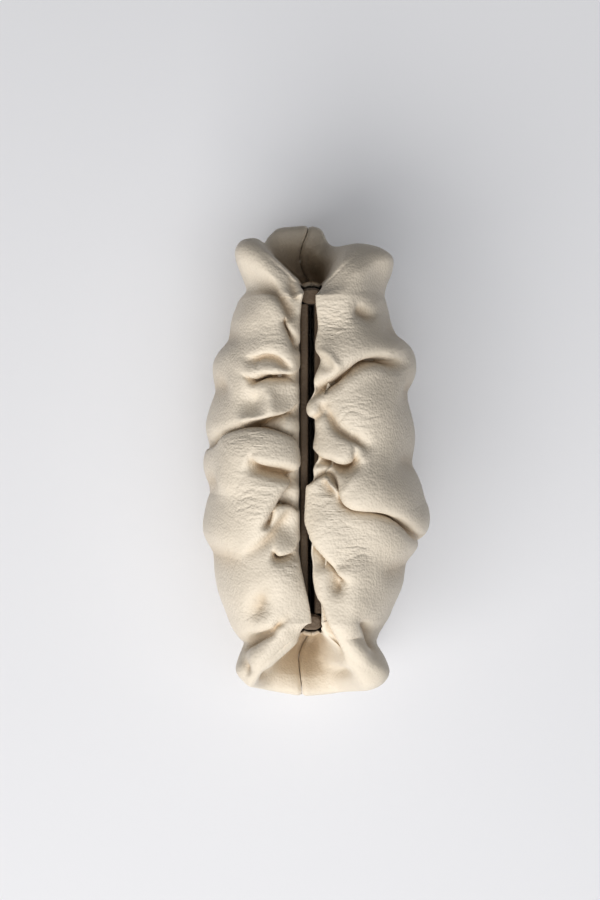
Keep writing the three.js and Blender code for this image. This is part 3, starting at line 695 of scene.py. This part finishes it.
@dataclass(frozen=True)
class GatheredPanel:
    """One leather panel of the bag, gathered onto its bar and sewn to the other along its edges."""

    form: BagForm
    facing: Facing
    seed: int
    span_steps: tuple[int, ...] = (5, 6, 8, 26, 38, 24, 14, 20, 14, 6)
    bottom_steps: int = 12
    mouth_steps: int = 330
    fan_steps: int = 62
    fan_crowding: float = 1.5
    lip_span: int = 2
    waist_span: int = 7
    neck_share: float = 0.1
    held_from: float = 1.0
    held_over: float = 2.0
    seam_columns: int = 10
    seam_rows: tuple[int, int] = (12, 10)
    seam_width: float = 1.1
    least_crinkle: float = 0.12
    # painted shade deep in the end pockets: where it starts along the panel, over how far, its width and its
    # strength
    pocket_from: float = 1.5
    pocket_over: float = 0.2
    pocket_shade: float = 17.0
    pocket_shade_strength: float = 0.9
    inner_step: int = 4
    inner_margins: tuple[int, ...] = (1, 2, 3)

    @property
    def side(self) -> int:
        """The sign of Y on this side."""
        return self.facing.value

    @property
    def tables(self) -> PanelTables:
        """This side's tables."""
        return PANELS[self.facing]

    @property
    def node(self) -> str:
        """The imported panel's name."""
        return f"{self.facing.name.lower()}_panel"

    @property
    def bar(self) -> str:
        """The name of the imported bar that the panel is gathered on."""
        return f"frame_bar_{self.facing.name.lower()}"

    def fold_lines(self) -> Array:
        """Space the fold lines, closer together towards each end seam.

        Returns:
            Their places along the panel.
        """
        fan = np.linspace(0, 1, self.fan_steps + 1)[1:]
        fan = mix(fan, 1 - (1 - fan) ** self.fan_crowding, 0.5)
        middle = np.linspace(-1, 1, self.mouth_steps + 1)
        return np.concatenate([-1 - fan[::-1], middle, 1 + fan])

    def smooth_form(self) -> Sheet:
        """Lay out the smooth panel.

        Returns:
            The panel, with how freely each place may fold.
        """
        f = self.form
        along = self.fold_lines()
        start, out = f.lines(along)
        reach = f.reach(self.tables.reach, along)
        points = f.profile_points(self.tables, along, reach)
        profile, order = [], []
        for span, steps in enumerate(self.span_steps):
            t = np.arange(0 if span == 0 else 1, steps + 1) / steps
            profile.append(through(points, span, t))
            order.append(span + t)
        at, s = np.concatenate(profile, 1), np.concatenate(order)
        low = at[..., 1] < f.bar_top + f.lip_rise
        at[..., 0] = np.where(low, np.maximum(0, at[..., 0]), at[..., 0])
        plan = out[:, None] * at[..., :1] + start[:, None]
        space = np.stack([plan[..., 0], self.side * plan[..., 1], np.maximum(0, at[..., 1])], -1)
        neck = np.where(s < self.lip_span, -(self.lip_span - s) * self.neck_share, 0)
        run = np.linalg.norm(np.diff(space, axis=1, prepend=space[:, :1]), axis=-1)
        below = np.cumsum(np.where(s > self.waist_span, run, 0), 1)
        across = np.where(s > self.waist_span, 1 + below / reach[:, None], at[..., 0] / reach[:, None] + neck)
        flat = out[:, None] * (across * reach[:, None])[..., None] + start[:, None]
        hold = np.broadcast_to(smoothstep((s - self.held_from) / self.held_over), across.shape)
        return self.with_bottom(Sheet(space, flat, hold, along))

    def with_bottom(self, sheet: Sheet) -> Sheet:
        """Run the leather on under the bag, to the bottom seam.

        Args:
            sheet: the panel down to its foot.

        Returns:
            The whole panel.
        """
        steps, foot = self.bottom_steps, sheet.space[:, -1]
        seam = np.stack([foot[:, 0] * self.form.bottom_tuck, 0 * foot[:, 0], 0 * foot[:, 0]], -1)
        t = (np.arange(1, steps + 1) / steps)[None, :, None]
        space = np.concatenate([sheet.space, mix(foot[:, None], seam[:, None], t)], 1)
        flat = np.concatenate([sheet.flat, np.repeat(sheet.flat[:, -1:], steps, 1)], 1)
        hold = np.concatenate([sheet.hold, np.zeros((len(sheet.along), steps))], 1)
        return Sheet(space, flat, hold, sheet.along)

    def normals(self, space: Array) -> Array:
        """Give the directions out of the leather, flat in the seams' plane along the seams.

        Args:
            space: the smooth panel's places.

        Returns:
            The unit directions.
        """
        columns, rows = np.gradient(space, axis=0), np.gradient(space, axis=1)
        normal = np.cross(columns, rows) * self.side
        normal[[0, -1], :, 1] = 0
        normal[:, -1, 1] = 0
        return normal / np.maximum(lengths(normal), TINY)

    def along_leather(self, shift: Array, sheet: Sheet) -> Array:
        """Turn sideways shifts over the flat pattern into steps along the leather.

        Args:
            shift: the shifts.
            sheet: the smooth panel.

        Returns:
            The steps in space, about as long as the shifts.
        """
        upright, longest = 1e-4, 1.2
        space_i, space_j = np.gradient(sheet.space, axis=0), np.gradient(sheet.space, axis=1)
        flat_i, flat_j = np.gradient(sheet.flat, axis=0), np.gradient(sheet.flat, axis=1)
        turn = flat_i[..., 0] * flat_j[..., 1] - flat_i[..., 1] * flat_j[..., 0]
        turn = np.where(np.abs(turn) < upright, 1 / TINY, turn)
        step_i = (flat_j[..., 1] * shift[..., 0] - flat_j[..., 0] * shift[..., 1]) / turn
        step_j = (flat_i[..., 0] * shift[..., 1] - flat_i[..., 1] * shift[..., 0]) / turn
        moved = space_i * step_i[..., None] + space_j * step_j[..., None]
        return moved * np.minimum(1, longest * lengths(shift) / np.maximum(lengths(moved), TINY))

    def held(self, hold: Array) -> Array:
        """Let nothing move at the end seams, and little beside them.

        Args:
            hold: how freely each place may fold.

        Returns:
            The same, with the end seams held.
        """
        hold = hold.copy()
        hold[[0, -1]] = 0
        for column in range(1, self.seam_columns):
            hold[[column, -1 - column]] *= smoothstep(np.array(column / self.seam_columns))
        return hold

    def painted_pocket_shade(self, flat: Array, along: Array) -> Array:
        """Give the painted shade deep in the end pockets, near the hinges.

        Args:
            flat: places on the flat pattern.
            along: the columns' places along the panel.

        Returns:
            The painted shade's strength.
        """
        sunk = smoothstep((np.abs(along) - self.pocket_from) / self.pocket_over)[:, None]
        apex = np.hypot(np.abs(flat[..., 0]) - self.form.half_mouth, flat[..., 1])
        return self.pocket_shade_strength * sunk * bell(apex, self.pocket_shade)

    def skin(self) -> Skin:
        """Shape the leather.

        Returns:
            Its outside and inside.
        """
        f = self.form
        sheet = self.smooth_form()
        space, flat = sheet.space, sheet.flat
        push, crease, shift = np.zeros(sheet.hold.shape), np.zeros(sheet.hold.shape), np.zeros_like(flat)
        for fold in self.tables.folds:
            one_push, one_shift, one_painted_shade = FoldShape().push(fold, flat)
            push += one_push
            shift += one_shift
            crease = np.maximum(crease, one_painted_shade)
        for dent in self.tables.dents:
            push -= dent.at(flat)
        crinkle, hold = np.full(push.shape, self.least_crinkle), self.held(sheet.hold)
        for spot in self.tables.crinkles:
            crinkle = np.maximum(crinkle, spot.at(flat))
        push += Relief(self.seed).push(flat, crinkle)
        push *= np.where(push > 0, hold**2, hold)
        normal = self.normals(space)
        sideways = self.along_leather(shift, sheet) * smoothstep(2 * hold - 1)[..., None]
        outer = space + normal * (push - self.seam_groove(space))[..., None] + sideways
        inner = space + normal * (self.lowest(push) - f.wall)[..., None] + sideways
        rows, steps = hold.shape[1], self.bottom_steps
        gap = mix(f.clearance, f.bottom_clearance, smoothstep((np.arange(rows) - rows + steps + 1) / steps))
        for places in (outer, inner):
            places[..., 2] = np.maximum(0, places[..., 2])
            places[..., 1] += self.side * gap / 2 + f.drift(places[..., 0], sheet.along[:, None])
        # the painted shade of the creases and of the end pockets, whichever is darker
        return Skin(outer, inner, np.maximum(crease * hold, self.painted_pocket_shade(flat, sheet.along)), crinkle)

    def seam_groove(self, space: Array) -> Array:
        """Give how far the leather rounds in towards each end seam.

        Args:
            space: the smooth panel's places.

        Returns:
            The distances.
        """
        first, over = self.seam_rows
        rows = smoothstep((np.arange(space.shape[1]) - first) / over)
        away = [np.linalg.norm(space - space[edge], axis=-1) for edge in (0, -1)]
        return sum(bell(size, self.seam_width) for size in away) * rows

    def lowest(self, push: Array) -> Array:
        """Find how deep the inside has to lie to stay under every fold.

        Args:
            push: the pushes outwards.

        Returns:
            The deepest push nearby, and the push itself along the edges.
        """
        low = push
        for axis in (0, 1):
            for step in self.inner_margins:
                low = np.minimum(low, np.minimum(np.roll(low, step, axis), np.roll(low, -step, axis)))
        columns, rows = push.shape
        i, j = np.arange(columns)[:, None], np.arange(rows)[None, :]
        edge = np.minimum(np.minimum(i, columns - 1 - i), np.minimum(j, rows - 1 - j))
        return mix(push, low, smoothstep(edge / self.inner_step))

    def closing_faces(self, outside: Array, inside: Array, picks: tuple[list[int], ...]) -> list[list[int]]:
        """List the coarser faces of the inside, and those that close the wall round its edge.

        Args:
            outside: the outside vertex at each column and row.
            inside: the inside vertex at each column and row, or -1 for none.
            picks: the columns and the rows that have inside vertices throughout.

        Returns:
            The faces.
        """
        columns, rows = outside.shape
        faces: list[list[int]] = []
        for a, b in zip(picks[0][:-1], picks[0][1:]):
            for c, d in zip(picks[1][:-1], picks[1][1:]):
                down = [inside[a, j] for j in (range(c, d) if a == 0 else (c,))]
                far = [inside[i, d] for i in (range(a, b) if d == rows - 1 else (a,))]
                up = [inside[b, j] for j in (range(d, c, -1) if b == columns - 1 else (d,))]
                near = [inside[i, c] for i in (range(b, a, -1) if c == 0 else (b,))]
                faces.append([int(k) for k in (down + far + up + near)[::-1]])
        ring = [(i, 0) for i in range(columns)] + [(columns - 1, j) for j in range(1, rows)]
        ring += [(i, rows - 1) for i in range(columns - 2, -1, -1)]
        ring += [(0, j) for j in range(rows - 2, 0, -1)]
        for p, q in zip(ring, ring[1:] + ring[:1]):
            faces.append([int(outside[p]), int(outside[q]), int(inside[q]), int(inside[p])])
        return faces

    def mesh(self, shift: Vector) -> bpy.types.Mesh:
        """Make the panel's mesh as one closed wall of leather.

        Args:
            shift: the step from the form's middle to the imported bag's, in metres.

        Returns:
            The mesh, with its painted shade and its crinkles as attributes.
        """
        skin = self.skin()
        columns, rows = skin.outer.shape[:2]
        picks = tuple(sorted({*range(0, size, self.inner_step), size - 1}) for size in (columns, rows))
        wanted = np.zeros((columns, rows), bool)
        wanted[[0, -1]] = wanted[:, [0, -1]] = True
        wanted[np.ix_(*picks)] = True
        outside = np.arange(columns * rows).reshape(columns, rows)
        inside = np.full((columns, rows), -1)
        inside[wanted] = columns * rows + np.arange(wanted.sum())
        corners = [outside[:-1, :-1], outside[:-1, 1:], outside[1:, 1:], outside[1:, :-1]]
        faces: list[list[int]] = np.stack(corners, -1).reshape(-1, 4).tolist()
        faces += self.closing_faces(outside, inside, picks)
        if self.side > 0:
            faces = [face[::-1] for face in faces]
        places = np.concatenate([skin.outer.reshape(-1, 3), skin.inner[wanted]]) * MM + np.array(shift)
        mesh = bpy.data.meshes.new(f"{self.node}_leather")
        mesh.from_pydata(places.tolist(), [], faces)
        for name, values in (("crease", skin.crease), ("crinkle", skin.crinkle)):
            layer = mesh.attributes.new(name, "FLOAT", "POINT")
            full = np.concatenate([values.reshape(-1), np.zeros(wanted.sum())]).astype(np.float32)
            layer.data.foreach_set("value", full)
        mesh.polygons.foreach_set("use_smooth", [True] * len(faces))
        mesh.update()
        return mesh

    def build(self, shift: Vector, material: Material) -> bpy.types.Object:
        """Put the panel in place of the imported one.

        Args:
            shift: the step from the form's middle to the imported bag's, in metres.
            material: the leather.

        Returns:
            The panel.
        """
        panel = bpy.data.objects.new(f"{self.node}_leather", self.mesh(shift))
        panel.data.materials.append(material)
        bpy.context.scene.collection.objects.link(panel)
        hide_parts(self.node)
        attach(panel, "root")
        return panel


@dataclass(frozen=True)
class WrappedFrame:
    """The sprung frame in its leather: two bars and the hinges between them, as they are packed."""

    bars: tuple[str, str] = ("frame_bar_front", "frame_bar_back")
    hinges: tuple[str, str] = ("hinge_left", "hinge_right")

    def middle(self) -> Vector:
        """Find the middle between the hinges, in metres."""
        low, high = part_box(self.hinges[0])[0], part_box(self.hinges[1])[1]
        return Vector(((low[0] + high[0]) / 2, (low[1] + high[1]) / 2, 0))

    def dress(self, material: Material) -> None:
        """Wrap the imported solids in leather.

        Args:
            material: the leather.
        """
        for node in self.bars + self.hinges:
            solid = bpy.data.objects[node]
            solid.data.materials.clear()
            solid.data.materials.append(material)


class Shading:
    """The node tree of one new material."""

    def __init__(self, name: str) -> None:
        """Start the material.

        Args:
            name: its name.
        """
        self.material = bpy.data.materials.new(name)
        self.material.use_nodes = True
        self.tree = self.material.node_tree
        self.shader = self.tree.nodes["Principled BSDF"]

    def add(self, kind: str, **values: object) -> bpy.types.Node:
        """Add a node.

        Args:
            kind: the node's type.
            values: what to set, by the name of a socket or else of a property.

        Returns:
            The node.
        """
        made = self.tree.nodes.new(kind)
        for key, value in values.items():
            if key in made.inputs:
                made.inputs[key].default_value = value
            else:
                setattr(made, key, value)
        return made

    def link(self, start: Socket, end: Socket) -> None:
        """Join two sockets."""
        self.tree.links.new(start, end)

    @staticmethod
    def fill(node: bpy.types.Node, values: dict[str, object]) -> None:
        """Set a node's sockets by their names."""
        for name, value in values.items():
            node.inputs[name].default_value = value


@dataclass(frozen=True)
class Leather:
    """Soft pebbled leather."""

    name: str = "cream_leather"
    colour: Colour = (0.79, 0.715, 0.605)
    # the colour of the painted shade in creases and end pockets
    painted_shade_colour: Colour = (0.5, 0.38, 0.25)
    darker: float = 0.93
    lighter: float = 1.04
    mottle_scale: float = 24.0
    mottle_ends: tuple[float, float] = (0.3, 0.75)
    roughness: float = 0.52
    smoother: float = 0.08
    rougher: float = 0.12
    specular: float = 0.4
    sheen: float = 0.12
    sheen_roughness: float = 0.5
    pebble: float = 0.0013
    pebble_deep: float = 0.0003
    pebble_strength: float = 0.7
    pebble_smoothness: float = 0.35
    wave_scale: float = 260.0
    wave_deep: float = 0.0008
    wave_strength: float = 0.3
    pore_scale: float = 2600.0
    pore_deep: float = 0.00006
    pore_strength: float = 0.35
    wrinkle_scale: tuple[float, float, float] = (520.0, 110.0, 260.0)
    wrinkle_deep: float = 0.001

    def paint(self, shading: Shading, at: Socket) -> None:
        """Colour the leather, a little mottled, with painted shade in its creases and end pockets.

        Args:
            shading: the material.
            at: the places on the object.
        """
        link = shading.link
        mottle = shading.add("ShaderNodeTexNoise", Scale=self.mottle_scale, Detail=5.0)
        tone = shading.add("ShaderNodeValToRGB")
        dark, light = tone.color_ramp.elements
        dark.position, light.position = self.mottle_ends
        dark.color = (*[c * self.darker for c in self.colour], 1)
        light.color = (*[min(1, c * self.lighter) for c in self.colour], 1)
        # painted shade: the attribute's strength mixes the darker shade colour into the leather
        crease = shading.add("ShaderNodeAttribute", attribute_name="crease")
        shade = shading.add("ShaderNodeMix", data_type="RGBA")
        shade.inputs["B"].default_value = (*self.painted_shade_colour, 1)
        link(at, mottle.inputs["Vector"])
        link(mottle.outputs["Fac"], tone.inputs["Fac"])
        link(crease.outputs["Fac"], shade.inputs["Factor"])
        link(tone.outputs["Color"], shade.inputs["A"])
        link(shade.outputs["Result"], shading.shader.inputs["Base Color"])

    def emboss(self, shading: Shading, at: Socket) -> None:
        """Give the leather its grain, rougher between the pebbles, and ridges where it is crinkled.

        Args:
            shading: the material.
            at: the places on the object.
        """
        link = shading.link
        cells = shading.add("ShaderNodeTexVoronoi", feature="SMOOTH_F1", Scale=1 / self.pebble)
        shading.fill(cells, {"Smoothness": self.pebble_smoothness, "Randomness": 1.0})
        waves = shading.add("ShaderNodeTexNoise", Scale=self.wave_scale, Detail=3.0)
        pores = shading.add("ShaderNodeTexNoise", Scale=self.pore_scale, Detail=2.0)
        stretch = shading.add("ShaderNodeMapping", Scale=self.wrinkle_scale)
        lines = shading.add("ShaderNodeTexNoise", Scale=1.0, Detail=3.0, Distortion=0.6)
        for texture in (cells, waves, pores, stretch):
            link(at, texture.inputs["Vector"])
        link(stretch.outputs["Vector"], lines.inputs["Vector"])
        rough = shading.add("ShaderNodeMapRange")
        low, high = self.roughness - self.smoother, self.roughness + self.rougher
        shading.fill(rough, {"To Min": low, "To Max": high})
        link(cells.outputs["Distance"], rough.inputs["Value"])
        link(rough.outputs["Result"], shading.shader.inputs["Roughness"])
        crinkle = shading.add("ShaderNodeAttribute", attribute_name="crinkle")
        above = shading.add("ShaderNodeBump", Distance=self.wrinkle_deep)
        link(crinkle.outputs["Fac"], above.inputs["Strength"])
        link(lines.outputs["Fac"], above.inputs["Height"])
        link(above.outputs["Normal"], shading.shader.inputs["Normal"])
        layers = (
            (pores.outputs["Fac"], self.pore_deep, self.pore_strength, False),
            (waves.outputs["Fac"], self.wave_deep, self.wave_strength, False),
            (cells.outputs["Distance"], self.pebble_deep, self.pebble_strength, True),
        )
        for height, deep, strength, invert in layers:
            below = shading.add("ShaderNodeBump", Strength=strength, Distance=deep, invert=invert)
            link(height, below.inputs["Height"])
            link(below.outputs["Normal"], above.inputs["Normal"])
            above = below

    def build(self) -> Material:
        """Make the material.

        Returns:
            The material.
        """
        shading = Shading(self.name)
        shine = {"Specular IOR Level": self.specular, "Sheen Weight": self.sheen}
        shading.fill(shading.shader, {**shine, "Sheen Roughness": self.sheen_roughness})
        at = shading.add("ShaderNodeTexCoord").outputs["Object"]
        self.paint(shading, at)
        self.emboss(shading, at)
        return shading.material


@dataclass(frozen=True)
class Lamp:
    """One soft rectangular lamp that faces the bag."""

    name: str
    place: Place
    size: tuple[float, float]
    watts: float
    colour: Colour
    target: Place = (0.0, 0.0, 0.05)

    def build(self) -> None:
        """Hang the lamp."""
        data = bpy.data.lights.new(self.name, "AREA")
        data.shape = "RECTANGLE"
        data.size, data.size_y = self.size
        data.energy = self.watts
        data.color = self.colour
        lamp = bpy.data.objects.new(self.name, data)
        lamp.location = self.place
        aim = Vector(self.target) - Vector(self.place)
        lamp.rotation_euler = aim.to_track_quat("-Z", "Y").to_euler()
        bpy.context.scene.collection.objects.link(lamp)


@dataclass(frozen=True)
class Studio:
    """The table, the light and the camera, in metres."""

    eye: Place = (-0.0058, -0.0064, 1.1)
    lens: float = 78.9
    sensor: float = 36.0
    table_size: float = 8.0
    table_drop: float = 0.0002
    table_colour: Colour = (0.6, 0.6, 0.615)
    table_glow: Colour = (0.97, 0.98, 1.0)
    glow_strength: float = 0.17
    table_roughness: float = 0.6
    window: Lamp = Lamp("window", (1.65, -0.9, 1.75), (3.0, 1.8), 52.0, (1.0, 0.985, 0.965))
    ceiling: Lamp = Lamp("ceiling", (0.5, 0.5, 2.3), (1.8, 1.8), 16.0, (0.97, 0.98, 1.0))
    room_colour: Colour = (0.92, 0.94, 1.0)
    room_strength: float = 0.06
    exposure: float = -0.1

    def camera(self) -> None:
        """Look straight down, with the left hinge at the top of the picture."""
        data = bpy.data.cameras.new("camera")
        data.lens = self.lens
        data.sensor_width = self.sensor
        camera = bpy.data.objects.new("camera", data)
        camera.location = self.eye
        camera.rotation_euler = (0, 0, RIGHT_ANGLE)
        bpy.context.scene.collection.objects.link(camera)
        bpy.context.scene.camera = camera

    def table(self) -> None:
        """Lay the pale table top."""
        bpy.ops.mesh.primitive_plane_add(size=self.table_size, location=(0, 0, -self.table_drop))
        top = bpy.context.object
        top.name = "table_top"
        paint = Shading("table_paint")
        glow = {"Emission Color": (*self.table_glow, 1), "Emission Strength": self.glow_strength}
        plain = {"Base Color": (*self.table_colour, 1), "Roughness": self.table_roughness}
        paint.fill(paint.shader, {**glow, **plain})
        top.data.materials.append(paint.material)

    def room(self) -> None:
        """Fill the shade with a little light from the room, and set how the picture is developed."""
        world = bpy.data.worlds.new("room")
        world.use_nodes = True
        background = world.node_tree.nodes["Background"]
        Shading.fill(background, {"Color": (*self.room_colour, 1), "Strength": self.room_strength})
        bpy.context.scene.world = world
        view = bpy.context.scene.view_settings
        view.view_transform = "Standard"
        view.look = "High Contrast"
        view.exposure = self.exposure

    def build(self) -> None:
        """Set the whole stage."""
        self.camera()
        self.table()
        self.window.build()
        self.ceiling.build()
        self.room()


def main() -> None:
    """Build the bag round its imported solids."""
    logging.basicConfig(level=logging.INFO, format="%(name)s: %(message)s")
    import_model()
    Studio().build()
    form, frame = BagForm(), WrappedFrame()
    cream = Leather().build()
    # the frame's dark brown is painted shade: the bars sit deep in the mouth, and their leather is darkened
    # to show that shade
    shaded_frame_leather = Leather(name="frame_leather", colour=(0.19, 0.145, 0.105), painted_shade_colour=(0.15, 0.11, 0.08)).build()
    for facing, seed in ((Facing.FRONT, 11), (Facing.BACK, 29)):
        panel = GatheredPanel(form, facing, seed).build(frame.middle(), cream)
        log.info("%s: %d faces", panel.name, len(panel.data.polygons))
    frame.dress(shaded_frame_leather)
    log.info("%s: wrapped", ", ".join(frame.bars + frame.hinges))


if __name__ == "__main__":
    main()
